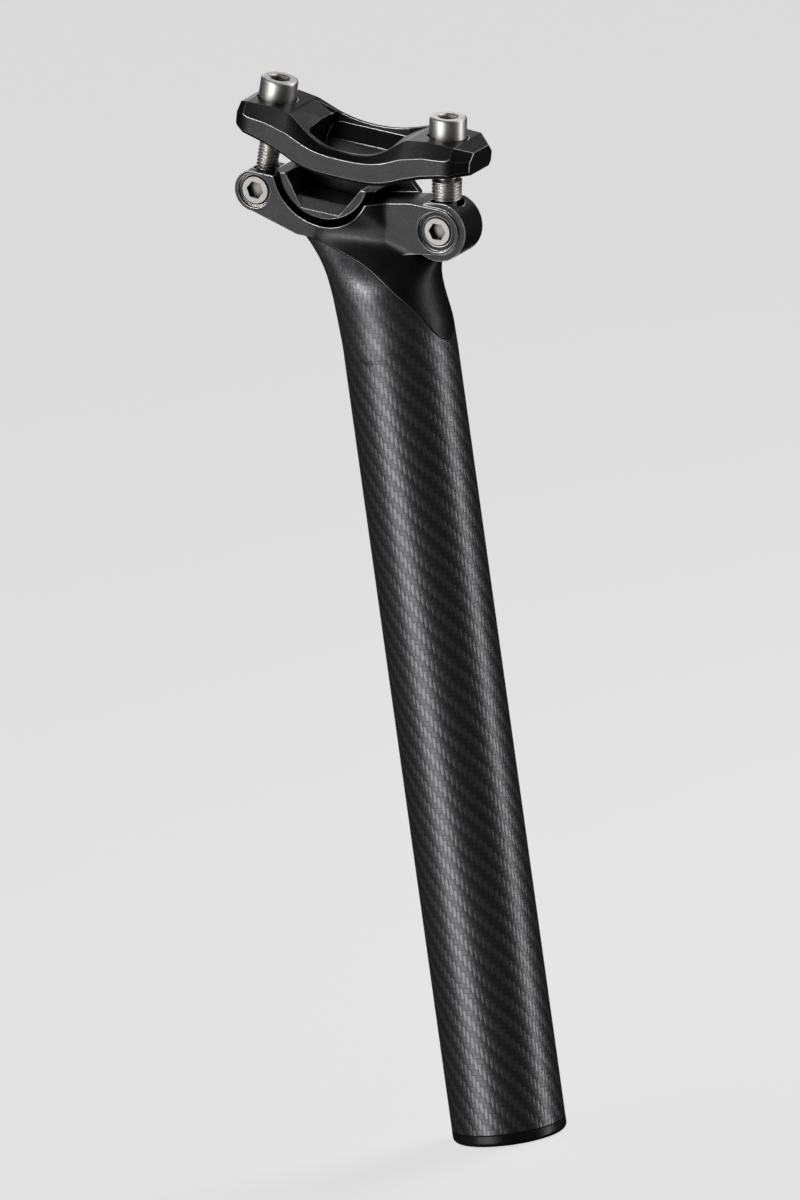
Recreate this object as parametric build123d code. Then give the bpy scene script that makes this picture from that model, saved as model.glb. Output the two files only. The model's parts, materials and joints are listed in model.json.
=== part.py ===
from build123d import *
import os
from math import atan2, cos, degrees, radians, sqrt

# Bicycle seatpost: a round carbon tube with a plug at its lower end, a forged head bonded
# into its top, and a two-bolt saddle clamp that rocks in the head's round seat.
#
# Frame: origin on the tube's axis at the tube's lower end, +Z up the tube, +X to the front of
# the bicycle, +Y to its left. The clamp is drawn in the head's own frame: origin midway
# between the two nut axes, x along the line from the rear nut to the front one, y across.
# Lengths are in millimetres and angles in degrees.

# Tube
tube_diameter = 31.6
tube_wall = 2.6
bond_gap = 0.1

# End cap
cap_height = 3.6
cap_edge_radius = 1.6
cap_chamfer = 0.3
cap_plug_length = 12.0
cap_wall = 2.0

# Head frame against the tube: height of the nut line, setback to the rear, forward tilt
head_height = 260.4
head_setback = 8.0
head_tilt = 13.75

# Lugs and nuts: the arms' flat plates end round the nuts, and a wider barrel backs the front one
nut_spacing = 56.0
lug_half_depth = 6.2
rear_lug_radius = 5.9
front_lug_radius = 6.6
barrel_radius = 8.5
barrel_half_depth = 5.5
nut_radius = 4.2
nut_recess = 0.5
nut_socket_flats = 4.5
nut_socket_depth = 2.0
nut_chamfer = 0.4
rear_counterbore = 4.9
front_counterbore = 5.7
counterbore_depth = 0.9
running_clearance = 0.05

# Round seat of the head and the cradle that rocks in it
seat_x = -7.5
seat_z = 10.0
cradle_radius = 15.5
seat_clearance = 0.3
cradle_tip_z = 7.0
cradle_floor_z = 1.2
cradle_lip_z = -1.8
cradle_lip_half = 5.6
cradle_lip_depth = 1.4
cradle_mouth_half = 11.6
cradle_bevel = 2.0
rear_top_z = 5.4
front_top_z = 4.0
front_rise = 1.6

# Low wall of the head that closes the seat on the left and keeps the cradle from sliding out
wall_gap = 0.3
wall_thickness = 2.1
wall_root_z = -8.0
wall_top = [(-22.5, 5.4), (-21.8, 10.4), (-15.0, 9.2), (-8.0, 7.6), (2.0, 7.6), (13.0, 8.6), (16.0, 5.8)]

# Neck: where it starts below the nut line, then its levels from the tube up. Each level has
# its share of that drop, its setback, its share of the head's tilt, and how far its oval
# stands out from the tube's radius along the bicycle and across it
neck_drop = 41.4
neck_levels = [
    (1.0, 0.0, 0.0, 0.0, 0.0),
    (0.83, 0.2, 0.0, 0.0, 0.0),
    (0.686, 0.8, 0.2, -0.1, -0.3),
    (0.444, 2.0, 0.55, 0.8, -1.6),
    (0.251, 4.2, 0.85, 5.2, -6.9),
]

# Top of the neck, level with the head: height from the nut line, then half length and half width
crown_offset = 0.5
crown_levels = [(-4.0, 22.5, 7.4), (9.5, 24.0, 6.6)]

# Arms: the underside of the plate between the lugs, and the spigot that goes down into the tube
arm_bottom = [(-14.0, -9.6), (12.0, -9.6)]
arm_blend_radius = 4.0
spigot_length = 48.0
spigot_hollow = 24.0
spigot_wall = 3.6

# Line where the carbon meets the forged head: x, and the drop below the nut line
seam = [
    (-24.0, 7.4),
    (-17.0, 7.9),
    (-8.5, 11.1),
    (0.3, 15.6),
    (6.5, 21.6),
    (12.1, 30.0),
    (15.4, 38.0),
    (19.0, 47.0),
]

# Bolts, M6 socket cap screws that lean towards each other
bolt_radius = 3.0
bolt_head_radius = 5.2
bolt_head_height = 6.2
bolt_head_chamfer = 0.6
bolt_point_chamfer = 0.6
bolt_socket_flats = 5.0
bolt_socket_depth = 3.4
bolt_end_z = -4.2
bolt_top_spacing = 52.6
bolt_seat_z = 25.5
bolt_swing_clearance = 0.9
bolt_pocket_depth = 8.0

# Thicker threaded length of the front bolt, between its lug and the clamp
collar_radius = 4.2
collar_start = 8.0
collar_end = 14.2
collar_clearance = 0.8

# Round-bottomed washers under the bolt heads
washer_radius = 5.2
washer_sphere = 12.0
washer_thickness = 2.0
washer_bore_clearance = 0.2
washer_seat_clearance = 0.3
boss_recess_clearance = 0.5

# Upper clamp: widths, and the window between its two bars
clamp_half_width = 11.5
clamp_top_inset = 2.3
clamp_bottom_bevel = 1.2
clamp_corner_radius = 6.0
window_half_width = 8.0
window_far_half_width = 8.6
window_ledge_y = 5.0
window_ledge_drop = 9.2
window_far_drop = 5.4
window_top_inset = 7.9
window_lead_in = 5.8
window_shelf_drop = 3.1
window_corner_radius = 2.4

# Upper clamp's heights, each measured from the bolt seats: underside, crease and top of the near
# side, then crease and top of the far side. Bar stations are places along the bars from the
# middle. Boss stations are places from the bolt seats, each with the inset of the sides
bar_stations = [
    (0.0, -15.3, -9.2, -8.1, -5.3, -4.1),
    (6.5, -15.2, -8.9, -7.3, -5.1, -3.6),
    (12.5, -14.3, -7.5, -4.3, -4.5, -2.1),
    (18.4, -11.9, -5.1, -0.1, -3.7, -0.1),
]
boss_root = (-2.3, 0.0, -9.9, -3.7, 0.7, -3.7, 0.7)
rear_boss = [boss_root, (5.0, 0.3, -8.2, -3.1, 0.5, -3.1, 0.5), (7.7, 2.6, -7.6, -3.1, -0.6, -3.1, -0.6)]
front_boss = [boss_root, (5.9, 0.4, -8.0, -3.0, 0.5, -3.0, 0.5), (10.4, 4.6, -7.2, -3.2, -1.0, -3.2, -1.0)]

# How far a cut runs past the face that it opens
cut_margin = 1.0

tube_radius = tube_diameter / 2
straight_length = head_height - neck_drop
bore_radius = tube_radius - tube_wall
spigot_radius = bore_radius - bond_gap
nut_x = nut_spacing / 2
head_frame = Location((-head_setback, 0, head_height), (0, head_tilt, 0))
bolt_lean = degrees(atan2((nut_spacing - bolt_top_spacing) / 2, bolt_seat_z))
seat_along_bolt = bolt_seat_z / cos(radians(bolt_lean))
bolt_top_x = bolt_top_spacing / 2
window_top_half = bolt_top_x - window_top_inset
window_half = window_top_half - window_lead_in


def on_head(shape):
    """Carry a shape from the head's frame to the seatpost's."""
    return head_frame * shape


def across(face, half_depth):
    """Extrude an XZ face evenly to both sides of the middle plane."""
    return extrude(face, amount=half_depth, dir=(0, 1, 0), both=True)


def outline(points):
    """Closed XZ polygon."""
    corners = [(x, 0, z) for x, z in points]
    return make_face(Polyline(*corners, close=True))


def cross_cylinder(radius, half_depth, x, z):
    """Cylinder that lies across the head, along Y."""
    return Pos(x, 0, z) * Rot(90, 0, 0) * Cylinder(radius, 2 * half_depth)


def oval(plane, half_length, half_width):
    """Section of the neck: an oval drawn as two halves that meet at its front and rear."""
    left = EllipticalCenterArc((0, 0), half_length, half_width, start_angle=0, arc_size=180)
    right = EllipticalCenterArc((0, 0), half_length, half_width, start_angle=180, arc_size=180)
    return plane * make_face([left, right])


def neck(inset):
    """Loft from the round tube up into the flat forged arms, leaning over, shrunk by an inset."""
    sections = []
    for drop_share, setback, tilt_share, along, aside in neck_levels:
        height = head_height - drop_share * neck_drop
        level = Plane(Location((-setback, 0, height), (0, tilt_share * head_tilt, 0)))
        sections.append(oval(level, tube_radius + along - inset, tube_radius + aside - inset))
    for z, half_length, half_width in crown_levels:
        level = Plane(head_frame * Pos(crown_offset, 0, z))
        sections.append(oval(level, half_length - inset, half_width - inset))
    return loft(sections)


def arms():
    """Flat forged plate that carries the two lugs, and the barrel behind the front one."""
    web = outline(
        [
            (-nut_x, -rear_lug_radius),
            *arm_bottom,
            (nut_x, -front_lug_radius),
            (nut_x, front_lug_radius),
            (-nut_x, rear_lug_radius),
        ]
    )
    body = across(web, lug_half_depth)
    body += cross_cylinder(rear_lug_radius, lug_half_depth, -nut_x, 0)
    body += cross_cylinder(front_lug_radius, lug_half_depth, nut_x, 0)
    return body + cross_cylinder(barrel_radius, barrel_half_depth, nut_x, 0)


def wall():
    """Low wall on the left of the seat, before its top is trimmed."""
    inner = lug_half_depth - cut_margin
    outer = lug_half_depth + wall_gap + wall_thickness
    rear, front = wall_top[0], wall_top[-1]
    face = outline([(rear[0], wall_root_z), (front[0], wall_root_z), *wall_top[::-1]])
    return Pos(0, inner, 0) * extrude(face, amount=outer - inner, dir=(0, 1, 0))


def above(edges, start, side):
    """Everything above a line of edges, from a plane across the head outwards to one side."""
    return Pos(0, start, 0) * extrude(make_face(edges), amount=tube_diameter, dir=(0, side, 0))


def seat_trim():
    """Everything above the head's top: rear flat, round seat and rising front flat, or the wall."""
    seat_radius = cradle_radius + seat_clearance
    far = nut_spacing

    def on_seat(z, side):
        return seat_x + side * sqrt(seat_radius**2 - (z - seat_z) ** 2)

    rear_corner = (on_seat(rear_top_z, -1), 0, rear_top_z)
    front_corner = (on_seat(front_top_z, 1), 0, front_top_z)
    bottom = (seat_x, 0, seat_z - seat_radius)
    lug_top = (nut_x, 0, front_lug_radius + front_rise)
    rest = [(far, 0, barrel_radius), (far, 0, far), (-far, 0, far), (-far, 0, rear_top_z)]
    seat = [
        Polyline((-far, 0, rear_top_z), rear_corner),
        ThreePointArc(rear_corner, bottom, front_corner),
        Polyline(front_corner, lug_top, *rest),
    ]
    guard = [(x, 0, z) for x, z in wall_top]
    split = lug_half_depth + wall_gap
    return above(seat, split, -1) + above([Polyline(*guard, lug_top, *rest, close=True)], split, 1)


def bolt_place(side):
    """Frame of a bolt: origin on its nut's axis, z up the bolt. Side -1 is the rear."""
    return Pos(side * nut_x, 0, 0) * Rot(0, -side * bolt_lean, 0)


def nut_hole(side):
    """Cross bore, its counterbores and the pocket that the bolt swings in."""
    bore = cross_cylinder(nut_radius + running_clearance, lug_half_depth + cut_margin, side * nut_x, 0)
    rims = []
    rim_radius = front_counterbore if side > 0 else rear_counterbore
    for face in (-1, 1):
        rim = Cylinder(rim_radius, counterbore_depth * 2)
        place = Pos(side * nut_x, face * lug_half_depth, 0) * Rot(90, 0, 0)
        rims.append(place * rim)
    swing = bolt_radius + bolt_swing_clearance
    height = bolt_pocket_depth + seat_along_bolt
    pocket = bolt_place(side) * Pos(0, 0, height / 2 - bolt_pocket_depth) * Cylinder(swing, height)
    cuts = [bore, pocket] + rims
    if side > 0:
        wide = collar_radius + collar_clearance
        well = Pos(0, 0, nut_radius + collar_end / 2) * Cylinder(wide, collar_end)
        cuts.append(bolt_place(side) * well)
    return cuts


def in_valley(edge):
    """Whether an edge is a curved one in which the neck's loft meets a flat face of the plate."""
    shares = (0, 0.5, 1)
    on_face = all(abs(abs((edge @ share).Y) - lug_half_depth) < running_clearance for share in shares)
    return on_face and edge.geom_type == GeomType.BSPLINE


def head_body():
    """Neck and arms in one shape, before the carbon and the metal are parted."""
    body = neck(0) + on_head(arms() + wall()) - on_head(seat_trim())
    return fillet(body.edges().filter_by(in_valley), arm_blend_radius)


def below_seam(drop):
    """Everything below the seam line, lowered by a small drop."""
    line = [(x, 0, head_height - fall - drop) for x, fall in seam]
    far = nut_spacing
    rear, front = line[0], line[-1]
    edges = [
        Spline(*line),
        Polyline(
            front,
            (far, 0, front[2]),
            (far, 0, 0),
            (-far, 0, 0),
            (-far, 0, rear[2]),
            rear,
        ),
    ]
    return across(make_face(edges), tube_diameter)


def carbon_tube(body):
    """Moulded tube with an even wall: straight round length, and a flared top cut along the seam."""
    top = body & below_seam(bond_gap)
    straight = extrude(Circle(tube_radius), amount=straight_length)
    bore = extrude(Circle(bore_radius), amount=straight_length) + neck(tube_wall)
    return straight + top - bore


def forged_head(body):
    """Metal head above the seam, with the hollow spigot that is bonded into the tube."""
    head = body - below_seam(0)
    spigot_top = head_height - seam[0][1]
    spigot_bottom = spigot_top - spigot_length
    stem_length = straight_length - spigot_bottom
    stem = Pos(0, 0, spigot_bottom) * extrude(Circle(spigot_radius), amount=stem_length)
    spigot = stem + (neck(tube_wall + bond_gap) & body)
    hollow = Pos(0, 0, spigot_bottom) * extrude(
        Circle(spigot_radius - spigot_wall), amount=spigot_hollow
    )
    head = head + spigot - hollow
    for side in (-1, 1):
        for cut in nut_hole(side):
            head -= on_head(cut)
    return head


def end_cap():
    """Round plug: a flange as wide as the tube with a rounded foot, and a hollow spigot."""
    plug_radius = bore_radius - bond_gap
    flange_top = -bond_gap
    foot_radius = tube_radius - cap_edge_radius
    foot_top = cap_edge_radius - cap_height
    foot = (foot_radius, 0, -cap_height)
    knee = (foot_radius + cap_edge_radius * sqrt(0.5), 0, foot_top - cap_edge_radius * sqrt(0.5))
    side = (tube_radius, 0, foot_top)
    profile = make_face(
        [
            Line((0, 0, -cap_height), foot),
            ThreePointArc(foot, knee, side),
            Polyline(
                side,
                (tube_radius, 0, flange_top - cap_chamfer),
                (tube_radius - cap_chamfer, 0, flange_top),
                (plug_radius, 0, flange_top),
                (plug_radius, 0, cap_plug_length),
                (plug_radius - cap_wall, 0, cap_plug_length),
                (plug_radius - cap_wall, 0, flange_top),
                (0, 0, flange_top),
                (0, 0, -cap_height),
            ),
        ]
    )
    return revolve(profile, Axis.Z)


def lower_cradle():
    """Crescent that rocks in the head: round below, a channel across its top with bevelled lips."""
    disc = cross_cylinder(cradle_radius, lug_half_depth, seat_x, seat_z)
    rims = disc.edges().filter_by(GeomType.CIRCLE)
    disc = chamfer(rims, cradle_bevel)
    high = seat_z + cradle_radius
    far = cradle_radius + cut_margin
    slope = (cradle_mouth_half - cradle_lip_half) / (cradle_tip_z - cradle_lip_z)
    floor_half = cradle_lip_half + slope * (cradle_floor_z - cradle_lip_z)
    crown = outline(
        [
            (seat_x - far, cradle_tip_z),
            (seat_x + far, cradle_tip_z),
            (seat_x + far, high),
            (seat_x - far, high),
        ]
    )
    channel = outline(
        [
            (seat_x - floor_half, cradle_floor_z),
            (seat_x + floor_half, cradle_floor_z),
            (seat_x + cradle_mouth_half, cradle_tip_z),
            (seat_x - cradle_mouth_half, cradle_tip_z),
        ]
    )
    lip = outline(
        [
            (seat_x - cradle_lip_half, cradle_lip_z),
            (seat_x + cradle_lip_half, cradle_lip_z),
            (seat_x + floor_half, cradle_floor_z),
            (seat_x - floor_half, cradle_floor_z),
        ]
    )
    deep = lug_half_depth + cut_margin
    cradle = disc - across(crown, deep) - across(channel, deep)
    for side in (-1, 1):
        wedge = make_face(
            Polyline(
                (0, side * lug_half_depth, cradle_lip_z),
                (0, side * (lug_half_depth - cradle_lip_depth), cradle_floor_z),
                (0, side * deep, cradle_floor_z),
                (0, side * deep, cradle_lip_z),
                close=True,
            )
        )
        bevel = extrude(wedge, amount=cradle_radius, dir=(1, 0, 0), both=True)
        cradle -= Pos(seat_x, 0, 0) * bevel & across(lip, deep)
    return cradle


def clamp_section(x, half_width, low, near_crease, near_top, far_crease, far_top):
    """Eight-sided section of the upper clamp; its heights are measured from the bolt seats."""
    bottom = half_width - clamp_bottom_bevel
    shoulder = half_width - clamp_top_inset
    corners = [
        (-bottom, low),
        (bottom, low),
        (half_width, low + clamp_bottom_bevel),
        (half_width, far_crease),
        (shoulder, far_top),
        (-shoulder, near_top),
        (-half_width, near_crease),
        (-half_width, low + clamp_bottom_bevel),
    ]
    points = [(x, y, bolt_seat_z + rise) for y, rise in corners]
    return make_face(Polyline(*points, close=True))


def at_boss_corner(edge):
    """Whether an edge is an upright one where a side of the clamp turns in to its end."""
    middle = edge @ 0.5
    upright = abs((edge % 0.5).Z) > 0.9
    return upright and abs(middle.X) > bolt_top_x and abs(middle.Y) > clamp_half_width - clamp_bottom_bevel


def clamp_blank():
    """Yoke of two bars that dip between high flat-topped bosses with tapered ends."""
    wide = clamp_half_width
    bars = [clamp_section(x, wide, *heights) for x, *heights in bar_stations]
    left = [clamp_section(-x, wide, *heights) for x, *heights in bar_stations[1:]]
    blank = loft(left[::-1] + bars)
    for side, root, stations in ((-1, left[-1], rear_boss), (1, bars[-1], front_boss)):
        sections = [root]
        for reach, inset, *heights in stations:
            sections.append(clamp_section(side * (bolt_top_x + reach), wide - inset, *heights))
        blank += loft(sections, ruled=True)
    return fillet(blank.edges().filter_by(at_boss_corner), clamp_corner_radius)


def clamp_window():
    """Opening between the two bars: sloping ends, and a ledge low on the far bar."""
    high = bolt_seat_z + bolt_head_height
    shelf_z = bolt_seat_z - window_shelf_drop
    top_half = window_half + window_lead_in / window_shelf_drop * (high - shelf_z)
    profile = outline(
        [
            (-window_half, 0),
            (window_half, 0),
            (window_half, shelf_z),
            (top_half, high),
            (-top_half, high),
            (-window_half, shelf_z),
        ]
    )
    block = across(profile, window_far_half_width)
    corners = block.edges().filter_by(lambda edge: abs(edge.tangent_at(0.5).Y) < 0.01)
    upright = corners.filter_by(lambda edge: abs(edge.tangent_at(0.5).Z) > 0.1)
    block = fillet(upright, window_corner_radius)
    across_view = Polyline(
        (0, -window_half_width, 0),
        (0, window_ledge_y, 0),
        (0, window_ledge_y, bolt_seat_z - window_ledge_drop),
        (0, window_far_half_width, bolt_seat_z - window_far_drop),
        (0, window_far_half_width, high),
        (0, -window_half_width, high),
        close=True,
    )
    return block & extrude(make_face(across_view), amount=top_half, dir=(1, 0, 0), both=True)


def washer_seat(side):
    """Recess for a bolt head and its washer, and the hole that the bolt swings in."""
    sphere_z = seat_along_bolt - washer_thickness + washer_sphere
    recess_radius = washer_radius + boss_recess_clearance
    recess = Pos(0, 0, seat_along_bolt + bolt_head_height / 2) * Cylinder(recess_radius, bolt_head_height)
    bowl = Pos(0, 0, sphere_z) * Sphere(washer_sphere + washer_seat_clearance)
    column = Pos(0, 0, seat_along_bolt) * Cylinder(recess_radius, 2 * washer_thickness + cut_margin)
    hole = Pos(0, 0, seat_along_bolt / 2) * Cylinder(bolt_radius + bolt_swing_clearance, seat_along_bolt)
    return [bolt_place(side) * cut for cut in (recess, bowl & column, hole)]


def upper_clamp():
    """Upper clamp with its window, bolt holes and washer seats."""
    clamp = clamp_blank() - clamp_window()
    for side in (-1, 1):
        for cut in washer_seat(side):
            clamp -= cut
    return clamp


def bolt(side):
    """Socket cap screw; its thread's outer cylinder stands for the thread."""
    length = seat_along_bolt - bolt_end_z
    shank = Pos(0, 0, bolt_end_z + length / 2) * Cylinder(bolt_radius, length)
    shank = chamfer(shank.edges().sort_by(Axis.Z)[0], bolt_point_chamfer)
    cap = Pos(0, 0, seat_along_bolt + bolt_head_height / 2) * Cylinder(bolt_head_radius, bolt_head_height)
    cap = chamfer(cap.edges().sort_by(Axis.Z)[-1], bolt_head_chamfer)
    top = seat_along_bolt + bolt_head_height
    socket = Pos(0, 0, top - bolt_socket_depth) * extrude(
        RegularPolygon(bolt_socket_flats / 2, 6, major_radius=False), amount=bolt_socket_depth
    )
    body = shank + cap - socket
    if side > 0:
        length = collar_end - collar_start
        collar = Pos(0, 0, collar_start + length / 2) * Cylinder(collar_radius, length)
        body += chamfer(collar.edges().filter_by(GeomType.CIRCLE), bolt_point_chamfer)
    return bolt_place(side) * body


def washer(side):
    """Washer with a flat top for the bolt head and a round underside."""
    sphere_z = seat_along_bolt - washer_thickness + washer_sphere
    disc = Pos(0, 0, seat_along_bolt - washer_thickness / 2) * Cylinder(washer_radius, washer_thickness)
    body = disc & Pos(0, 0, sphere_z) * Sphere(washer_sphere)
    bore = Pos(0, 0, seat_along_bolt) * Cylinder(
        bolt_radius + washer_bore_clearance, 2 * washer_thickness + cut_margin
    )
    return bolt_place(side) * (body - bore)


def barrel_nut(side):
    """Cross nut: a short round bar with a socket in each end and the bolt's hole through it."""
    half = lug_half_depth - nut_recess
    bar = Rot(90, 0, 0) * Cylinder(nut_radius, 2 * half)
    bar = chamfer(bar.edges().filter_by(GeomType.CIRCLE), nut_chamfer)
    socket = extrude(
        RegularPolygon(nut_socket_flats / 2, 6, major_radius=False), amount=nut_socket_depth
    )
    for face in (-1, 1):
        bar -= Pos(0, face * half, 0) * Rot(face * 90, 0, 0) * socket
    thread = Cylinder(bolt_radius + running_clearance, 4 * nut_radius)
    return bolt_place(side) * (bar - thread)


body = head_body()
nodes = {
    "carbon_tube": carbon_tube(body),
    "end_cap": end_cap(),
    "head": forged_head(body),
    "lower_cradle": on_head(lower_cradle()),
    "upper_clamp": on_head(upper_clamp()),
}
for side, name in ((-1, "rear"), (1, "front")):
    nodes[f"{name}_bolt"] = on_head(bolt(side))
    nodes[f"{name}_washer"] = on_head(washer(side))
    nodes[f"{name}_nut"] = on_head(barrel_nut(side))

os.makedirs("parts", exist_ok=True)
for name, solid in nodes.items():
    export_step(solid, f"parts/{name}.step")
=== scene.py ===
import json
from collections import namedtuple
from math import cos, pi, radians, sin

import bpy
import numpy as np
from bpy.props import FloatProperty, FloatVectorProperty, IntProperty, PointerProperty
from mathutils import Matrix, Vector


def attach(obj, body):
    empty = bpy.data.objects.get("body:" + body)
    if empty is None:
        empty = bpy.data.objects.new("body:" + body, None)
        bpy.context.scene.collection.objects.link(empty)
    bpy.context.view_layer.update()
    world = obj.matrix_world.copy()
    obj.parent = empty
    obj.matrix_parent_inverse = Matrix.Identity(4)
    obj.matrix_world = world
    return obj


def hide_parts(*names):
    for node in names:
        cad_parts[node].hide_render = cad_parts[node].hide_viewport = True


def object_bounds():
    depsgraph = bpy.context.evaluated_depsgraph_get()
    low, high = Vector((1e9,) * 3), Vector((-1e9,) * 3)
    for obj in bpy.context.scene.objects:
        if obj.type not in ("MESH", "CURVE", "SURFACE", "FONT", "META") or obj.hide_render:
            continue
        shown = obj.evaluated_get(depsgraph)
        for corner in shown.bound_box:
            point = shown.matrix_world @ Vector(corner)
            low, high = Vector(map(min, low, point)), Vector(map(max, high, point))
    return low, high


bl_info = {
    "name": "Bicycle seatpost",
    "version": (1, 0, 0),
    "blender": (4, 5, 0),
    "location": "View3D > Sidebar > Seatpost",
    "description": "Finishes a carbon seatpost with its forged head, saddle clamp and threaded bolts",
    "category": "Object",
}

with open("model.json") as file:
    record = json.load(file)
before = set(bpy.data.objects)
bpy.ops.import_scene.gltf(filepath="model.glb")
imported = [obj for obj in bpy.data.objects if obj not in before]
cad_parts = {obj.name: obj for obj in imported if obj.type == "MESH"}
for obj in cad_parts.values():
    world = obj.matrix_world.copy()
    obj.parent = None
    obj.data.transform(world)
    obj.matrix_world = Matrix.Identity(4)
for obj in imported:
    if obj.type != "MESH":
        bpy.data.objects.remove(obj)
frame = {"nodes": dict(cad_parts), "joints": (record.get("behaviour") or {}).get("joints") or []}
cad_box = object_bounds()

MM = 0.001
SIDES = ("rear", "front")
JOINTS = {joint["name"]: joint for joint in frame["joints"]}

# The picture's size in pixels, and where the post's origin lies in it, from its top left corner
PICTURE_WIDTH, PICTURE_HEIGHT = 800, 1200
ORIGIN_X, ORIGIN_Y = 508.6, 1121.7

# A Mix node has one set of sockets for numbers and one for colours, and these are their places
FACTOR = 0
NUMBER_A, NUMBER_B = 2, 3
COLOUR_A, COLOUR_B = 6, 7
COLOUR_RESULT = 2

# Nearly all values of a noise texture lie in this span
NOISE_SPAN = {"From Min": 0.3, "From Max": 0.7}

SoftPanel = namedtuple("SoftPanel", "name turn rise width height power lights_paper")

# Turn from the camera's azimuth and rise over the post's middle in degrees, size in metres and power in
# watts. The first four leave the paper unlit, because the tall ones among them reach below it, so that
# they mirror in the tube down to its foot
PANELS = (
    SoftPanel("left_panel", -50, -6, 0.44, 1.2, 3.4, False),
    SoftPanel("right_panel", 84, 0, 0.24, 1.4, 2.6, False),
    SoftPanel("edge_strip", -52, 24, 0.5, 0.07, 1.8, False),
    SoftPanel("rear_panel", 180, 0, 0.3, 1.4, 1.8, False),
    SoftPanel("back_panel", 125, 48, 0.4, 0.4, 0.8, True),
    SoftPanel("top_panel", -96, 57, 0.6, 0.6, 0.2, True),
)


def linear(code):
    """Linear RGB of an sRGB hex colour."""
    shares = [int(code[place:place + 2], 16) / 255 for place in (1, 3, 5)]
    return [v / 12.92 if v <= 0.04045 else ((v + 0.055) / 1.055) ** 2.4 for v in shares]


def add_node(tree, kind, inputs=None, **settings):
    """Add a shader node with its settings; an input that is a node or a socket is linked."""
    node = tree.nodes.new(kind)
    for name, value in settings.items():
        setattr(node, name, value)
    for name, value in (inputs or {}).items():
        if isinstance(value, bpy.types.Node):
            value = value.outputs[0]
        if isinstance(value, bpy.types.NodeSocket):
            tree.links.new(value, node.inputs[name])
        else:
            node.inputs[name].default_value = value
    return node


def new_material(name):
    """An empty node material and its tree."""
    material = bpy.data.materials.new(name)
    material.use_nodes = True
    material.node_tree.nodes.clear()
    return material, material.node_tree


def rgba(colour):
    """A colour property as the four values that a colour socket takes."""
    return (*colour, 1.0)


class TubeSettings(bpy.types.PropertyGroup):
    """Weave and finish of the carbon tube."""

    tows_round: IntProperty(
        name="Tows round the tube", description="Lengthwise tows in one turn, a multiple of four",
        default=80, min=8, step=4)
    weft_spacing: FloatProperty(
        name="Weft spacing", description="Distance along the tube from one crosswise tow to the next",
        default=1.55 * MM, unit="LENGTH", precision=5)
    tow_crown: FloatProperty(
        name="Tow crown", description="Height of a tow's rounded back above its edges",
        default=0.05 * MM, unit="LENGTH", precision=6)
    wander_length: FloatProperty(
        name="Wander length", description="Distance over which the hand-laid cloth wanders from its line",
        default=8.0 * MM, unit="LENGTH", precision=4)
    flare_drop: FloatProperty(
        name="Flare drop", description="From the rear nut's axis down to where the drawn cloth starts",
        default=62.0 * MM, unit="LENGTH", precision=4)
    drawn_length: FloatProperty(
        name="Drawn length", description="Length of neck over which the cloth is drawn out",
        default=45.0 * MM, unit="LENGTH", precision=4)
    drawn_share: FloatProperty(
        name="Drawn share", description="Share of the weave that has turned to wisps past that length",
        default=0.75, min=0, max=1, subtype="FACTOR")
    warp_colour: FloatVectorProperty(
        name="Warp colour", description="Reflection of the lengthwise tows",
        default=linear("#7e7e80"), size=3, subtype="COLOR")
    weft_colour: FloatVectorProperty(
        name="Weft colour", description="Reflection of the crosswise tows",
        default=linear("#646466"), size=3, subtype="COLOR")
    roughness: FloatProperty(
        name="Roughness", description="Spread of the satin highlight",
        default=0.34, min=0, max=1, subtype="FACTOR")


class CapSettings(bpy.types.PropertyGroup):
    """Moulded nylon of the end cap."""

    colour: FloatVectorProperty(
        name="Colour", description="Colour of the moulded nylon",
        default=linear("#161617"), size=3, subtype="COLOR")
    flow_width: FloatProperty(
        name="Flow width", description="Width of the faint marks that the flow left in the mould",
        default=3.0 * MM, unit="LENGTH", precision=4)
    skin_grain: FloatProperty(
        name="Skin grain", description="Width of one mark of the moulded skin",
        default=0.4 * MM, unit="LENGTH", precision=5)
    skin_depth: FloatProperty(
        name="Skin depth", description="Depth of one mark of the moulded skin",
        default=0.004 * MM, unit="LENGTH", precision=6)
    roughness: FloatProperty(
        name="Roughness", description="Spread of the highlight on the moulded skin",
        default=0.32, min=0, max=1, subtype="FACTOR")


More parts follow.
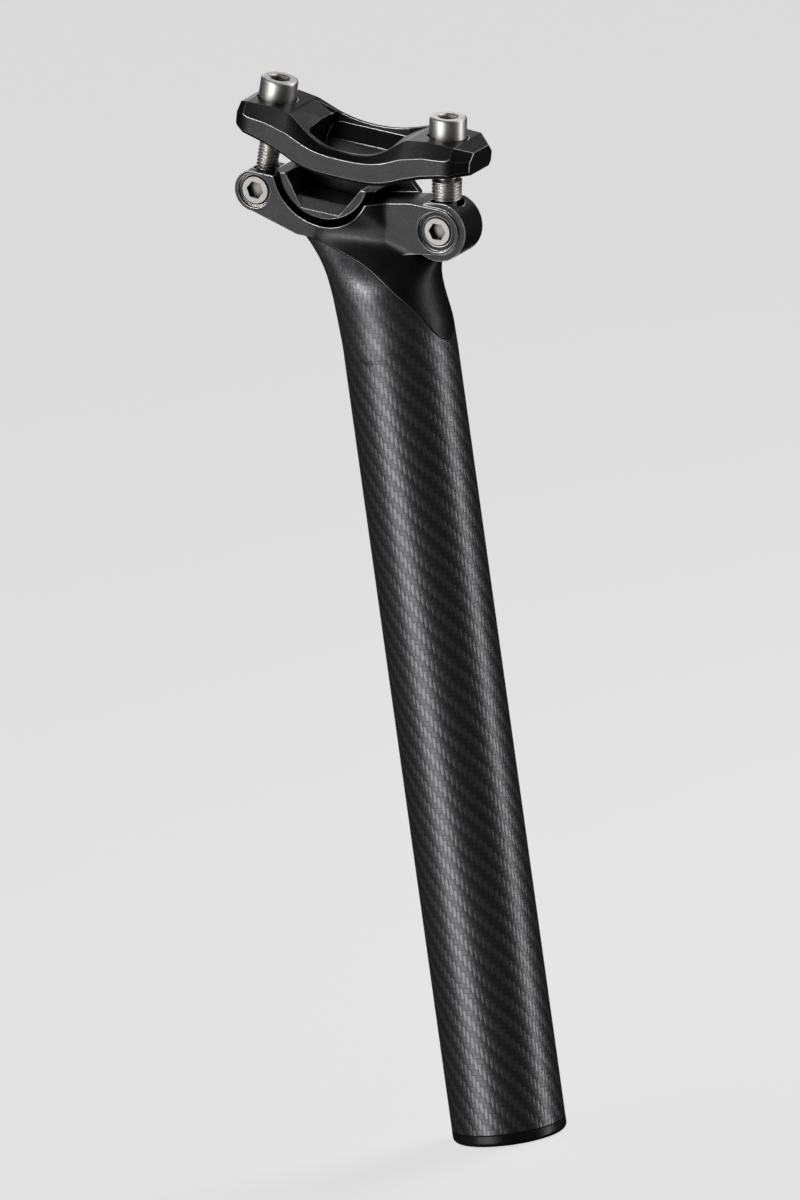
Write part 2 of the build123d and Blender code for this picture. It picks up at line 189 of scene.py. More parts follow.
class MetalSettings(bpy.types.PropertyGroup):
    """Black anodised metal of the head, cradle and upper clamp."""

    colour: FloatVectorProperty(
        name="Colour", description="Reflection of the dyed and blasted face",
        default=linear("#3c3c3d"), size=3, subtype="COLOR")
    # The edge colour, edge width, bond drop and bond fade set a painted highlight along the edges, which
    # fades out above the edge bonded to the carbon
    edge_highlight_colour: FloatVectorProperty(
        name="Edge colour", description="Reflection where handling has burnished an edge",
        default=linear("#d9d9d9"), size=3, subtype="COLOR")
    edge_width: FloatProperty(
        name="Edge width", description="How far the burnish reaches from an edge",
        default=0.5 * MM, unit="LENGTH", precision=5)
    bond_drop: FloatProperty(
        name="Bond drop", description="From the line between the nuts down to the edge bonded to the carbon",
        default=9.9 * MM, unit="LENGTH", precision=5)
    bond_fade: FloatProperty(
        name="Bond fade", description="Height over which the burnish fades out above the bonded edge",
        default=0.9 * MM, unit="LENGTH", precision=5)
    # Reach of the painted shade in the recesses
    recess_reach: FloatProperty(
        name="Recess reach", description="How near other faces have to be for a recess to stay dark",
        default=8.0 * MM, unit="LENGTH", precision=4)
    grain: FloatProperty(
        name="Grain", description="Width of one mark of the blasted face",
        default=0.28 * MM, unit="LENGTH", precision=5)
    grain_depth: FloatProperty(
        name="Grain depth", description="Depth of one mark of the blasted face",
        default=0.03 * MM, unit="LENGTH", precision=6)
    patch_width: FloatProperty(
        name="Patch width", description="Width of the faint lighter and darker patches of the dye",
        default=6.0 * MM, unit="LENGTH", precision=4)
    roughness: FloatProperty(
        name="Roughness", description="Spread of the highlight on a blasted face",
        default=0.38, min=0, max=1, subtype="FACTOR")
    # Roughness where the edge highlight is painted
    edge_roughness: FloatProperty(
        name="Edge roughness", description="Spread of the highlight on a burnished edge",
        default=0.3, min=0, max=1, subtype="FACTOR")


class BoltSettings(bpy.types.PropertyGroup):
    """Socket cap screws, barrel nuts and washers."""

    thread_pitch: FloatProperty(
        name="Thread pitch", description="Distance from one thread crest to the next",
        default=1.0 * MM, unit="LENGTH", precision=5)
    thread_depth: FloatProperty(
        name="Thread depth", description="Depth of the thread's root below its crest",
        default=0.58 * MM, unit="LENGTH", precision=5)
    shank_radius: FloatProperty(
        name="Shank radius", description="Radius over the thread's crests",
        default=3.0 * MM, unit="LENGTH", precision=5)
    collar_radius: FloatProperty(
        name="Collar radius", description="Radius over the crests of the front bolt's thicker thread",
        default=4.2 * MM, unit="LENGTH", precision=5)
    collar_start: FloatProperty(
        name="Collar start", description="From the nut's axis up the bolt to the thicker thread",
        default=8.0 * MM, unit="LENGTH", precision=5)
    collar_end: FloatProperty(
        name="Collar end", description="From the nut's axis up the bolt to the end of the thicker thread",
        default=14.2 * MM, unit="LENGTH", precision=5)
    head_height: FloatProperty(
        name="Head height", description="From the head's underside to its top",
        default=6.2 * MM, unit="LENGTH", precision=5)
    socket_flats: FloatProperty(
        name="Socket", description="Across the flats of the hexagon socket",
        default=5.0 * MM, unit="LENGTH", precision=5)
    socket_depth: FloatProperty(
        name="Socket depth", description="From the head's top to the flat end of the socket's walls",
        default=3.4 * MM, unit="LENGTH", precision=5)
    colour: FloatVectorProperty(
        name="Colour", description="Reflection of the turned steel",
        default=linear("#f6f3ee"), size=3, subtype="COLOR")
    nut_colour: FloatVectorProperty(
        name="Nut colour", description="Reflection of the plated nuts",
        default=linear("#a9a6a2"), size=3, subtype="COLOR")
    washer_colour: FloatVectorProperty(
        name="Washer colour", description="Reflection of the blackened washers",
        default=linear("#3a3a3a"), size=3, subtype="COLOR")
    tool_mark: FloatProperty(
        name="Tool mark", description="Width of one mark of the turning tool",
        default=0.25 * MM, unit="LENGTH", precision=5)
    mark_depth: FloatProperty(
        name="Mark depth", description="Depth of one mark of the turning tool",
        default=0.002 * MM, unit="LENGTH", precision=6)
    # Reach of the painted shade in the steel's recesses, though its label says grease
    steel_shade_reach: FloatProperty(
        name="Grease reach", description="How near other faces have to be for a recess to hold grease",
        default=4.0 * MM, unit="LENGTH", precision=4)
    roughness: FloatProperty(
        name="Roughness", description="Spread of the highlight on turned steel",
        default=0.4, min=0, max=1, subtype="FACTOR")


class StageSettings(bpy.types.PropertyGroup):
    """Floor, lights and camera."""

    floor_size: FloatProperty(
        name="Floor size", description="Side of the square of paper under the post",
        default=24.0, unit="LENGTH")
    floor_colour: FloatVectorProperty(
        name="Floor colour", description="Paper under the post",
        default=linear("#efefef"), size=3, subtype="COLOR")
    floor_glow: FloatProperty(
        name="Floor glow", description="Share of its colour that the paper gives of itself",
        default=0.8, min=0)
    room_colour: FloatVectorProperty(
        name="Room colour", description="Dim light that comes from all round",
        default=linear("#181819"), size=3, subtype="COLOR")
    panel_distance: FloatProperty(
        name="Panel distance", description="From the post's middle to each light panel",
        default=0.8, unit="LENGTH")
    azimuth: FloatProperty(
        name="Azimuth", description="Turn of the camera from the post's right side to its front",
        default=radians(28.0), subtype="ANGLE")
    elevation: FloatProperty(
        name="Elevation", description="Height of the camera over the horizon",
        default=radians(12.0), subtype="ANGLE")
    roll: FloatProperty(
        name="Roll", description="Lean of the post in the picture, to the left",
        default=radians(7.936), subtype="ANGLE")
    distance: FloatProperty(
        name="Distance", description="From the camera to the post",
        default=3.0, unit="LENGTH")
    picture_scale: FloatProperty(
        name="Picture scale", description="Pixels of the picture for each millimetre",
        default=3.633)


class SeatpostSettings(bpy.types.PropertyGroup):
    """All that a user would change."""

    tube: PointerProperty(type=TubeSettings)
    cap: PointerProperty(type=CapSettings)
    metal: PointerProperty(type=MetalSettings)
    bolts: PointerProperty(type=BoltSettings)
    stage: PointerProperty(type=StageSettings)


def tow_counts(tree, place, axes, settings):
    """Count of lengthwise tows round the tube, the column, and of crosswise tows up it, the row.

    Hand-laid cloth wanders from its line, by a tenth of a tow or so either way.
    """
    swing = 0.5
    wander = add_node(tree, "ShaderNodeTexNoise",
                      {"Vector": place, "Scale": 1 / settings.wander_length, "Detail": 1.0})
    drift = add_node(tree, "ShaderNodeMath", {0: wander, 1: swing, 2: -swing / 2}, operation="MULTIPLY_ADD")
    angle = add_node(tree, "ShaderNodeMath", {0: axes.outputs["Y"], 1: axes.outputs["X"]},
                     operation="ARCTAN2")
    column = add_node(tree, "ShaderNodeMath", {0: angle, 1: settings.tows_round / (2 * pi), 2: drift},
                      operation="MULTIPLY_ADD")
    row = add_node(tree, "ShaderNodeMath", {0: axes.outputs["Z"], 1: 1 / settings.weft_spacing, 2: drift},
                   operation="MULTIPLY_ADD")
    return column, row


def twill(tree, column, row):
    """Where a lengthwise tow lies on top in a two-by-two twill, and the top tow's height, 0 to 1.

    A lengthwise tow lies on top where the whole parts of column and row add up to 0 or 1, modulo
    4. A tow's back is an arch, 4 s (1 - s) to a power, in the share s of the way across it, and
    another in the share along it, because it dives under its neighbours at both ends.
    """
    repeat = 4.0
    on_top = repeat / 2
    runs, across, along = [], [], []
    for own, other, start in ((column, row, 0.0), (row, column, on_top)):
        whole = add_node(tree, "ShaderNodeMath", {0: own}, operation="FLOOR")
        total = add_node(tree, "ShaderNodeMath", {0: whole, 1: other}, operation="ADD")
        run = add_node(tree, "ShaderNodeMath", {0: total, 1: repeat}, operation="FLOORED_MODULO")
        runs.append(run)
        across.append(add_node(tree, "ShaderNodeMath", {0: own}, operation="FRACT"))
        along.append(add_node(tree, "ShaderNodeMath", {0: run, 1: 1 / on_top, 2: -start / on_top},
                              operation="MULTIPLY_ADD"))
    warp_on_top = add_node(tree, "ShaderNodeMath", {0: runs[0], 1: on_top}, operation="LESS_THAN")
    arches = []
    for (warp, weft), power in ((across, 0.5), (along, 0.4)):
        share = add_node(tree, "ShaderNodeMix", {FACTOR: warp_on_top, NUMBER_A: weft, NUMBER_B: warp})
        rest = add_node(tree, "ShaderNodeMath", {0: 1.0, 1: share}, operation="SUBTRACT")
        product = add_node(tree, "ShaderNodeMath", {0: share, 1: rest}, operation="MULTIPLY")
        full = add_node(tree, "ShaderNodeMath", {0: product, 1: 4.0}, operation="MULTIPLY", use_clamp=True)
        arches.append(add_node(tree, "ShaderNodeMath", {0: full, 1: power}, operation="POWER"))
    height = add_node(tree, "ShaderNodeMath", {0: arches[0], 1: arches[1]}, operation="MULTIPLY")
    return warp_on_top, height


def streaks(tree, cell, marks, detail):
    """Noise with so many marks to a tow, round the tube and up it."""
    spread = add_node(tree, "ShaderNodeVectorMath", {0: cell, 1: (*marks, 0.0)}, operation="MULTIPLY")
    return add_node(tree, "ShaderNodeTexNoise", {"Vector": spread, "Scale": 1.0, "Detail": detail})


def carbon_finish(settings):
    """Moulded twill carbon under a satin lacquer: black tows whose rounded backs glint in turn."""
    material, tree = new_material("twill_carbon_satin_lacquer")
    place = add_node(tree, "ShaderNodeTexCoord").outputs["Object"]
    axes = add_node(tree, "ShaderNodeSeparateXYZ", {"Vector": place})
    column, row = tow_counts(tree, place, axes, settings)
    cell = add_node(tree, "ShaderNodeCombineXYZ", {"X": column, "Y": row})
    warp_on_top, height = twill(tree, column, row)
    # Filaments run along the tow on top, drawn about 0.2 mm wide so that they show
    warp_streaks = streaks(tree, cell, (6.0, 0.6), 2.0)
    weft_streaks = streaks(tree, cell, (0.6, 6.0), 2.0)
    filament = add_node(tree, "ShaderNodeMix",
                        {FACTOR: warp_on_top, NUMBER_A: weft_streaks, NUMBER_B: warp_streaks})
    tow_colour = add_node(
        tree, "ShaderNodeMix",
        {FACTOR: warp_on_top, COLOUR_A: rgba(settings.weft_colour), COLOUR_B: rgba(settings.warp_colour)},
        data_type="RGBA")
    shade = add_node(tree, "ShaderNodeMapRange",
                     {**NOISE_SPAN, "Value": filament, "To Min": 0.75, "To Max": 1.2})
    # Painted shade: the colour darkens towards each tow's edges, in the dips between tows
    painted_dip_shade = add_node(tree, "ShaderNodeMapRange",
                      {"Value": height, "From Min": 0.0, "From Max": 0.7, "To Min": 0.55, "To Max": 1.0})
    # Filament tone times the painted shade in the dips
    light = add_node(tree, "ShaderNodeMath", {0: shade, 1: painted_dip_shade}, operation="MULTIPLY")
    weave = add_node(tree, "ShaderNodeMix",
                     {FACTOR: 1.0, COLOUR_A: tow_colour.outputs[COLOUR_RESULT], COLOUR_B: light},
                     data_type="RGBA", blend_type="MULTIPLY")
    # On the flared neck the cloth is drawn out into lengthwise wisps
    flare = JOINTS["rear_nut_turn"]["pos_m"][2] - settings.flare_drop
    drawn = add_node(tree, "ShaderNodeMapRange",
                     {"Value": axes.outputs["Z"],
                      "From Min": flare, "From Max": flare + settings.drawn_length,
                      "To Min": 0.0, "To Max": settings.drawn_share})
    wisps = streaks(tree, cell, (2.2, 0.8), 3.0)
    wisp = add_node(tree, "ShaderNodeMapRange", {**NOISE_SPAN, "Value": wisps, "To Min": 0.3, "To Max": 0.9})
    fibre = add_node(tree, "ShaderNodeMix",
                     {FACTOR: 1.0, COLOUR_A: rgba(settings.warp_colour), COLOUR_B: wisp},
                     data_type="RGBA", blend_type="MULTIPLY")
    colour = add_node(
        tree, "ShaderNodeMix",
        {FACTOR: drawn, COLOUR_A: weave.outputs[COLOUR_RESULT], COLOUR_B: fibre.outputs[COLOUR_RESULT]},
        data_type="RGBA")
    ridge = add_node(tree, "ShaderNodeMix", {FACTOR: drawn, NUMBER_A: height, NUMBER_B: wisps})
    # The lacquer is a little uneven along the filaments, and duller over the wisps
    uneven, duller = 0.05, 0.1
    lacquer = add_node(tree, "ShaderNodeMapRange",
                       {**NOISE_SPAN, "Value": filament,
                        "To Min": settings.roughness + uneven, "To Max": settings.roughness - uneven})
    rough = add_node(tree, "ShaderNodeMath", {0: drawn, 1: duller, 2: lacquer}, operation="MULTIPLY_ADD")
    bump = add_node(tree, "ShaderNodeBump", {"Height": ridge, "Distance": settings.tow_crown})
    shader = add_node(tree, "ShaderNodeBsdfPrincipled",
                      {"Base Color": colour.outputs[COLOUR_RESULT], "Roughness": rough, "Metallic": 0.85,
                       "Normal": bump, "Coat Weight": 0.12, "Coat Roughness": 0.3})
    add_node(tree, "ShaderNodeOutputMaterial", {"Surface": shader})
    return material


def painted_edge_highlight(tree, place, round_edge, settings):
    """How much painted highlight a point takes near an edge, 0 to 1.

    The rounded normal leaves the true one only near an edge. The painted highlight fades out below the arms,
    towards the head's edge bonded to the carbon.
    """
    true_face = add_node(tree, "ShaderNodeNewGeometry").outputs["Normal"]
    likeness = add_node(tree, "ShaderNodeVectorMath", {0: round_edge, 1: true_face}, operation="DOT_PRODUCT")
    turned = add_node(tree, "ShaderNodeMapRange",
                      {"Value": likeness.outputs["Value"], "From Min": 0.992, "From Max": 0.95,
                       "To Min": 0.0, "To Max": 1.0})
    rear, front = (Vector(JOINTS[f"{side}_nut_turn"]["pos_m"]) for side in SIDES)
    along = (front - rear).normalized()
    upward = Vector((-along.z, 0, along.x))
    rise = add_node(tree, "ShaderNodeVectorMath", {0: place, 1: upward}, operation="DOT_PRODUCT")
    bond = upward.dot(rear) - settings.bond_drop
    highlight_above_bond = add_node(tree, "ShaderNodeMapRange",
                       {"Value": rise.outputs["Value"],
                        "From Min": bond, "From Max": bond + settings.bond_fade,
                        "To Min": 0.12, "To Max": 1.0})
    return add_node(tree, "ShaderNodeMath", {0: turned, 1: highlight_above_bond}, operation="MULTIPLY")


def blasted_finish(settings):
    """Black anodised forged aluminium, bead blasted: a fine-grained dull sheen, with a painted highlight
    along the edges and painted shade in the recesses.
    """
    material, tree = new_material("blasted_black_anodised_aluminium")
    place = add_node(tree, "ShaderNodeTexCoord").outputs["Object"]
    # The marks of real beads are too fine to show, so they are drawn about a quarter of a millimetre wide
    grain = add_node(tree, "ShaderNodeTexNoise",
                     {"Vector": place, "Scale": 1 / settings.grain, "Detail": 2.0, "Roughness": 0.6})
    cloud = add_node(tree, "ShaderNodeTexNoise",
                     {"Vector": place, "Scale": 1 / settings.patch_width, "Detail": 3.0})
    round_edge = add_node(tree, "ShaderNodeBevel", {"Radius": settings.edge_width}, samples=16)
    # Mask of the painted edge highlight
    edge = painted_edge_highlight(tree, place, round_edge, settings)
    # Painted shade: the colour darkens where other faces are near, deep in the recesses
    recess = add_node(tree, "ShaderNodeAmbientOcclusion", {"Distance": settings.recess_reach}, samples=8)
    painted_recess_shade = add_node(tree, "ShaderNodeMapRange",
                        {"Value": recess.outputs["AO"], "From Min": 0.45, "From Max": 0.95,
                         "To Min": 0.05, "To Max": 1.0})
    speck = add_node(tree, "ShaderNodeMapRange",
                     {**NOISE_SPAN, "Value": grain, "To Min": 0.6, "To Max": 1.4})
    patch = add_node(tree, "ShaderNodeMapRange",
                     {**NOISE_SPAN, "Value": cloud, "To Min": 0.9, "To Max": 1.1})
    blasted = add_node(tree, "ShaderNodeMath", {0: speck, 1: patch}, operation="MULTIPLY")
    # Blast grain and dye patches times the painted shade
    shade = add_node(tree, "ShaderNodeMath", {0: blasted, 1: painted_recess_shade}, operation="MULTIPLY")
    face = add_node(tree, "ShaderNodeMix", {FACTOR: 1.0, COLOUR_A: rgba(settings.colour), COLOUR_B: shade},
                    data_type="RGBA", blend_type="MULTIPLY")
    # Painted highlight: near an edge the colour turns to the bright edge colour
    colour = add_node(
        tree, "ShaderNodeMix",
        {FACTOR: edge, COLOUR_A: face.outputs[COLOUR_RESULT], COLOUR_B: rgba(settings.edge_highlight_colour)},
        data_type="RGBA")
    rough = add_node(tree, "ShaderNodeMapRange",
                     {"Value": edge, "From Min": 0.0, "From Max": 1.0,
                      "To Min": settings.roughness, "To Max": settings.edge_roughness})
    bump = add_node(tree, "ShaderNodeBump",
                    {"Height": grain, "Distance": settings.grain_depth, "Normal": round_edge})
    shader = add_node(tree, "ShaderNodeBsdfPrincipled",
                      {"Base Color": colour.outputs[COLOUR_RESULT], "Roughness": rough, "Metallic": 0.9,
                       "Normal": bump})
    add_node(tree, "ShaderNodeOutputMaterial", {"Surface": shader})
    return material


def nylon_finish(settings):
    """Moulded black nylon: near black, with a smooth satin skin and faint flow marks."""
    material, tree = new_material("moulded_black_nylon")
    place = add_node(tree, "ShaderNodeTexCoord").outputs["Object"]
    flow = add_node(tree, "ShaderNodeTexNoise",
                    {"Vector": place, "Scale": 1 / settings.flow_width, "Detail": 3.0})
    uneven = 0.06
    rough = add_node(tree, "ShaderNodeMapRange",
                     {**NOISE_SPAN, "Value": flow,
                      "To Min": settings.roughness - uneven, "To Max": settings.roughness + uneven})
    # The real skin's grain is finer, and is drawn wide enough to show
    skin = add_node(tree, "ShaderNodeTexNoise",
                    {"Vector": place, "Scale": 1 / settings.skin_grain, "Detail": 2.0})
    bump = add_node(tree, "ShaderNodeBump", {"Height": skin, "Distance": settings.skin_depth})
    shader = add_node(tree, "ShaderNodeBsdfPrincipled",
                      {"Base Color": rgba(settings.colour), "Roughness": rough, "IOR": 1.53, "Normal": bump})
    add_node(tree, "ShaderNodeOutputMaterial", {"Surface": shader})
    return material


def steel_finish(name, colour, settings):
    """Turned steel: bright metal with fine tool marks, and painted shade that darkens its recesses."""
    material, tree = new_material(name)
    place = add_node(tree, "ShaderNodeTexCoord").outputs["Object"]
    # Real tool marks are finer, and are drawn wide enough to show
    marks = add_node(tree, "ShaderNodeTexNoise",
                     {"Vector": place, "Scale": 1 / settings.tool_mark, "Detail": 2.0})
    smoother, rougher = 0.06, 0.08
    rough = add_node(tree, "ShaderNodeMapRange",
                     {**NOISE_SPAN, "Value": marks,
                      "To Min": settings.roughness - smoother, "To Max": settings.roughness + rougher})
    # Painted shade: the colour darkens where other faces are near, in sockets, threads and recesses
    recess = add_node(tree, "ShaderNodeAmbientOcclusion", {"Distance": settings.steel_shade_reach}, samples=8)
    painted_steel_shade = add_node(tree, "ShaderNodeMapRange",
                      {"Value": recess.outputs["AO"], "From Min": 0.3, "From Max": 0.75,
                       "To Min": 0.06, "To Max": 1.0})
    worn = add_node(tree, "ShaderNodeMapRange", {**NOISE_SPAN, "Value": marks, "To Min": 0.9, "To Max": 1.0})
    # Painted shade times the faint tone of the tool marks
    shade = add_node(tree, "ShaderNodeMath", {0: painted_steel_shade, 1: worn}, operation="MULTIPLY")
    tint = add_node(tree, "ShaderNodeMix", {FACTOR: 1.0, COLOUR_A: rgba(colour), COLOUR_B: shade},
                    data_type="RGBA", blend_type="MULTIPLY")
    bump = add_node(tree, "ShaderNodeBump", {"Height": marks, "Distance": settings.mark_depth})
    shader = add_node(tree, "ShaderNodeBsdfPrincipled",
                      {"Base Color": tint.outputs[COLOUR_RESULT], "Roughness": rough, "Metallic": 1.0,
                       "Normal": bump})
    add_node(tree, "ShaderNodeOutputMaterial", {"Surface": shader})
    return material


def paint(node, material):
    """Give a CAD piece its finish."""
    slots = frame["nodes"][node].data.materials
    slots.clear()
    slots.append(material)


def grid_mesh(name, points, sharp_rows=()):
    """Mesh of a surface given as rows of points that close round each row; the ends are capped.

    points has the shape (rows, columns, 3). Faces join each point to the next in its row and in
    the row above, and sharp_rows are the rows whose edge stays crisp.
    """
    rows, columns = points.shape[:2]
    index = np.arange(rows * columns).reshape(rows, columns)
    near, far = index[:-1], index[1:]
    quads = np.stack([near, np.roll(near, -1, 1), np.roll(far, -1, 1), far], -1).reshape(-1, 4)
    faces = [*quads.tolist(), index[0, ::-1].tolist(), index[-1].tolist()]
    mesh = bpy.data.meshes.new(name)
    mesh.from_pydata(points.reshape(-1, 3).tolist(), [], faces)
    mesh.shade_smooth()
    sharp = np.isin(np.arange(rows), sharp_rows)
    ends = np.zeros(len(mesh.edges) * 2, np.int32)
    mesh.edges.foreach_get("vertices", ends)
    pair = ends.reshape(-1, 2) // columns
    crisp = (pair[:, 0] == pair[:, 1]) & sharp[pair[:, 0]]
    mesh.attributes.new("sharp_edge", "BOOLEAN", "EDGE").data.foreach_set("value", crisp)
    piece = bpy.data.objects.new(name, mesh)
    bpy.context.scene.collection.objects.link(piece)
    return piece


def hexagon(turn, flats):
    """Distance from a hexagon's centre to its side, at each angle.

    It is half the width across flats over the cosine of the angle from the middle of that side.
    """
    step = pi / 3
    return flats / 2 / np.cos((turn + step / 2) % step - step / 2)


def thread_rows(settings, turn, low, seat, collar_radius):
    """Radius and height of the threaded shank, in rows that hold one point for each angle.

    A helix sweeps the thread: at angle t a row stands at pitch times (row / rows in a turn - 1 +
    t / 2 pi) over the lower end, held between that end and the head's seat. The radius falls from
    crest to root by the thread's depth. Crests stand at the collar's radius between its two ends,
    and a short blunt point closes the thread.
    """
    pitch = settings.thread_pitch
    crest = settings.shank_radius
    fall = settings.thread_depth * np.array([0, 0, 0.5, 1, 1, 0.5])
    in_turn = len(fall)
    rows = np.arange(int(in_turn * (seat - low) / pitch) + 2 * in_turn)
    lift = pitch * (rows[:, None] / in_turn - 1 + turn / (2 * pi))
    height = np.clip(low + lift, low, seat)
    ramp = 0.4 * MM
    into = np.clip((height - settings.collar_start) / ramp, 0, 1)
    out_of = np.clip((settings.collar_end - height) / ramp, 0, 1)
    crest_radius = crest + (collar_radius - crest) * into * out_of
    point_length = 0.6 * MM
    blunt = settings.thread_depth + 0.3 * MM
    point = np.clip((height - low) / point_length, 0, 1)
    radius = np.minimum(crest_radius - fall[rows % in_turn][:, None], crest_radius - blunt * (1 - point))
    return radius, height


def head_rows(settings, turn, head_radius, seat, high):
    """Radius and height of the head's rows, up its side and down into its socket.

    Each row has one height. The head is round outside, with a bevelled foot and a rounded top
    edge, and six-sided inside, down to the cone that a drill leaves.
    """
    foot = 0.35 * MM
    edge = 0.6 * MM
    shoulder = 0.3 * edge
    socket = hexagon(turn, settings.socket_flats)
    mouth_radius = settings.socket_flats / 2 / cos(pi / 6) + 0.1 * MM
    mouth_depth = 0.3 * MM
    floor = high - settings.socket_depth
    drill_radius = 0.25 * MM
    drill_depth = 1.2 * MM
    rows = [
        (settings.shank_radius, seat),
        (head_radius - foot, seat),
        (head_radius, seat + foot),
        (head_radius, high - edge),
        (head_radius - shoulder, high - shoulder),
        (head_radius - edge, high),
        (mouth_radius, high),
        (socket, high - mouth_depth),
        (socket, floor),
        (drill_radius, floor - drill_depth),
    ]
    radius = np.vstack([np.broadcast_to(wide, turn.shape) for wide, _ in rows])
    height = np.vstack([np.broadcast_to(level, turn.shape) for _, level in rows])
    return radius, height


def bolt_points(settings, head_radius, low, high, collar_radius):
    """Surface of a socket cap screw about its own axis, and the rows of it whose edge is crisp.

    Its rows run from the point up the thread, up the head and down into the socket, and angle t
    and radius r give the point r cos t, r sin t at the row's height.
    """
    columns = 72
    turn = np.arange(columns) * 2 * pi / columns
    seat = high - settings.head_height
    shank_radius, shank_height = thread_rows(settings, turn, low, seat, collar_radius)
    cap_radius, cap_height = head_rows(settings, turn, head_radius, seat, high)
    radius = np.vstack([shank_radius, cap_radius])
    height = np.vstack([shank_height, cap_height])
    points = np.stack([radius * np.cos(turn), radius * np.sin(turn), height], -1)
    return points, list(range(len(shank_radius), len(radius)))


def node_corners(node):
    """Corners of a CAD piece's mesh, one row for each."""
    vertices = frame["nodes"][node].data.vertices
    flat = np.zeros(len(vertices) * 3, np.float32)
    vertices.foreach_get("co", flat)
    return flat.reshape(-1, 3).astype(float)


class SEATPOST_OT_tube(bpy.types.Operator):
    """Give the tube its woven carbon and the end cap its moulded nylon"""

    bl_idname = "seatpost.tube"
    bl_label = "Tube and end cap"

    def execute(self, context):
        settings = context.scene.seatpost
        paint("carbon_tube", carbon_finish(settings.tube))
        paint("end_cap", nylon_finish(settings.cap))
        return {"FINISHED"}


class SEATPOST_OT_head(bpy.types.Operator):
    """Give the head, the cradle and the upper clamp their blasted black finish"""

    bl_idname = "seatpost.head"
    bl_label = "Head and clamp"

    def execute(self, context):
        finish = blasted_finish(context.scene.seatpost.metal)
        for node in ("head", "lower_cradle", "upper_clamp"):
            paint(node, finish)
        return {"FINISHED"}


class SEATPOST_OT_bolts(bpy.types.Operator):
    """Make the two bolts with their threads and sockets, and finish the nuts and washers"""

    bl_idname = "seatpost.bolts"
    bl_label = "Bolts, nuts and washers"

    def execute(self, context):
        settings = context.scene.seatpost.bolts
        steel = steel_finish("turned_stainless_steel", settings.colour, settings)
        nut_steel = steel_finish("plated_nut_steel", settings.nut_colour, settings)
        dark = steel_finish("black_oxide_steel", settings.washer_colour, settings)
        for side in SIDES:
            node = f"{side}_bolt"
            # The bolt's own frame has its origin on the nut's axis and its Z up the bolt
            start = np.array(JOINTS[f"{side}_nut_turn"]["pos_m"])
            up = Vector(JOINTS[f"{side}_bolt_run"]["axis"]).normalized()
            turn = np.array(up.to_track_quat("Z", "Y").to_matrix())
            local = (node_corners(node) - start) @ turn
            low, high = local[:, 2].min(), local[:, 2].max()
            radius = np.hypot(local[:, 0], local[:, 1]).max()
            collar = settings.collar_radius if side == "front" else settings.shank_radius
            points, crisp = bolt_points(settings, radius, low, high, collar)
            piece = grid_mesh(f"{side}_cap_screw", points @ turn.T + start, crisp)
            piece.data.materials.append(steel)
            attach(piece, f"{side}_bolt_group")
            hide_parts(node)
            paint(f"{side}_nut", nut_steel)
            paint(f"{side}_washer", dark)
        return {"FINISHED"}


def outward(azimuth, elevation):
    """Unit direction away from the post: turned from its right side to its front, then raised."""
    return Vector((sin(azimuth) * cos(elevation), -cos(azimuth) * cos(elevation), sin(elevation)))


def lay_floor(stage):
    """Matt paper under the post, which glows evenly, as under a lit sweep, and takes a soft shadow."""
    half = stage.floor_size / 2
    low = cad_box[0].z
    mesh = bpy.data.meshes.new("floor")
    corners = [(x * half, y * half, low) for x, y in ((-1, -1), (1, -1), (1, 1), (-1, 1))]
    mesh.from_pydata(corners, [], [(0, 1, 2, 3)])
    paper, tree = new_material("matt_paper")
    shader = add_node(tree, "ShaderNodeBsdfPrincipled",
                      {"Base Color": rgba(stage.floor_colour), "Roughness": 0.9,
                       "Emission Color": rgba(stage.floor_colour), "Emission Strength": stage.floor_glow})
    add_node(tree, "ShaderNodeOutputMaterial", {"Surface": shader})
    mesh.materials.append(paper)
    floor = bpy.data.objects.new("floor", mesh)
    bpy.context.scene.collection.objects.link(floor)
    # It neither mirrors in the post nor lights it, and it stops no light from below
    floor.visible_glossy = False
    floor.visible_diffuse = False
    floor.visible_shadow = False
    return floor


def hang_panel(panel, stage):
    """Soft light that faces the post's middle, unseen by the camera."""
    middle = (cad_box[0] + cad_box[1]) / 2
    away = outward(stage.azimuth + radians(panel.turn), radians(panel.rise))
    data = bpy.data.lights.new(panel.name, "AREA")
    data.shape = "RECTANGLE"
    data.size = panel.width
    data.size_y = panel.height
    data.energy = panel.power
    light = bpy.data.objects.new(panel.name, data)
    facing = away.to_track_quat("Z", "Y").to_matrix().to_4x4()
    light.matrix_world = Matrix.Translation(middle + away * stage.panel_distance) @ facing
    light.visible_camera = False
    bpy.context.scene.collection.objects.link(light)
    return light


def light_room(stage, floor):
    """Dim room and soft panels, of which some leave the floor unlit."""
    world = bpy.data.worlds.new("studio")
    world.use_nodes = True
    world.node_tree.nodes["Background"].inputs["Color"].default_value = rgba(stage.room_colour)
    bpy.context.scene.world = world
    unlit = bpy.data.collections.new("unlit_floor")
    unlit.objects.link(floor)
    unlit.collection_objects[0].light_linking.link_state = "EXCLUDE"
    for panel in PANELS:
        light = hang_panel(panel, stage)
        if not panel.lights_paper:
            light.light_linking.receiver_collection = unlit


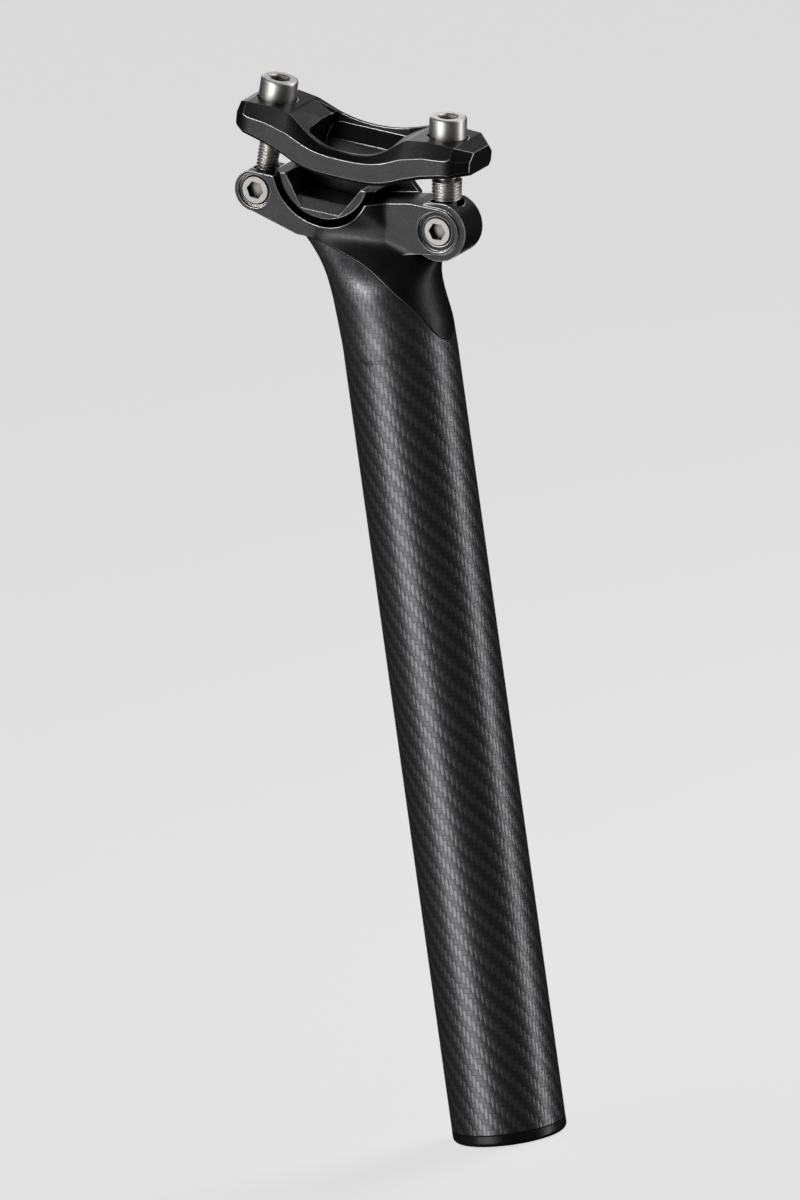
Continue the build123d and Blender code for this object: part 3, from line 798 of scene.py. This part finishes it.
def set_camera(stage):
    """Camera at its azimuth and elevation, rolled so that the post leans to the left in the picture.

    It has no perspective, because the tube's sides run parallel, as through a very long lens.
    """
    back = outward(stage.azimuth, stage.elevation)
    level = Vector((cos(stage.azimuth), sin(stage.azimuth), 0))
    upright = back.cross(level)
    right = level * cos(stage.roll) - upright * sin(stage.roll)
    up = level * sin(stage.roll) + upright * cos(stage.roll)
    pixel = MM / stage.picture_scale
    across = (PICTURE_WIDTH / 2 - ORIGIN_X) * pixel
    rise = (ORIGIN_Y - PICTURE_HEIGHT / 2) * pixel
    data = bpy.data.cameras.new("camera")
    data.type = "ORTHO"
    data.ortho_scale = PICTURE_HEIGHT * pixel
    data.clip_start = 0.1
    data.clip_end = 100.0
    camera = bpy.data.objects.new("camera", data)
    place = right * across + up * rise + back * stage.distance
    turn = Matrix((right, up, back)).transposed()
    camera.matrix_world = Matrix.Translation(place) @ turn.to_4x4()
    scene = bpy.context.scene
    scene.collection.objects.link(camera)
    scene.camera = camera
    scene.view_settings.view_transform = "Standard"


class SEATPOST_OT_stage(bpy.types.Operator):
    """Lay the pale floor, hang the soft lights and set the camera"""

    bl_idname = "seatpost.stage"
    bl_label = "Stage"

    def execute(self, context):
        stage = context.scene.seatpost.stage
        floor = lay_floor(stage)
        light_room(stage, floor)
        set_camera(stage)
        return {"FINISHED"}


class SEATPOST_PT_panel(bpy.types.Panel):
    """Steps and sizes of the seatpost"""

    bl_idname = "SEATPOST_PT_panel"
    bl_label = "Seatpost"
    bl_space_type = "VIEW_3D"
    bl_region_type = "UI"
    bl_category = "Seatpost"

    def draw(self, context):
        for step in STEPS:
            self.layout.operator(step.bl_idname)
        settings = context.scene.seatpost
        for group in (settings.tube, settings.cap, settings.metal, settings.bolts, settings.stage):
            box = self.layout.box()
            for name in group.__annotations__:
                box.prop(group, name)


STEPS = (SEATPOST_OT_tube, SEATPOST_OT_head, SEATPOST_OT_bolts, SEATPOST_OT_stage)
GROUPS = (TubeSettings, CapSettings, MetalSettings, BoltSettings, StageSettings, SeatpostSettings)
CLASSES = (*GROUPS, *STEPS, SEATPOST_PT_panel)


def register():
    for cls in CLASSES:
        bpy.utils.register_class(cls)
    bpy.types.Scene.seatpost = PointerProperty(type=SeatpostSettings)


def unregister():
    del bpy.types.Scene.seatpost
    for cls in reversed(CLASSES):
        bpy.utils.unregister_class(cls)


def main():
    """Build the looks step by step."""
    register()
    bpy.ops.seatpost.tube()
    bpy.ops.seatpost.head()
    bpy.ops.seatpost.bolts()
    bpy.ops.seatpost.stage()


if __name__ == "__main__":
    main()
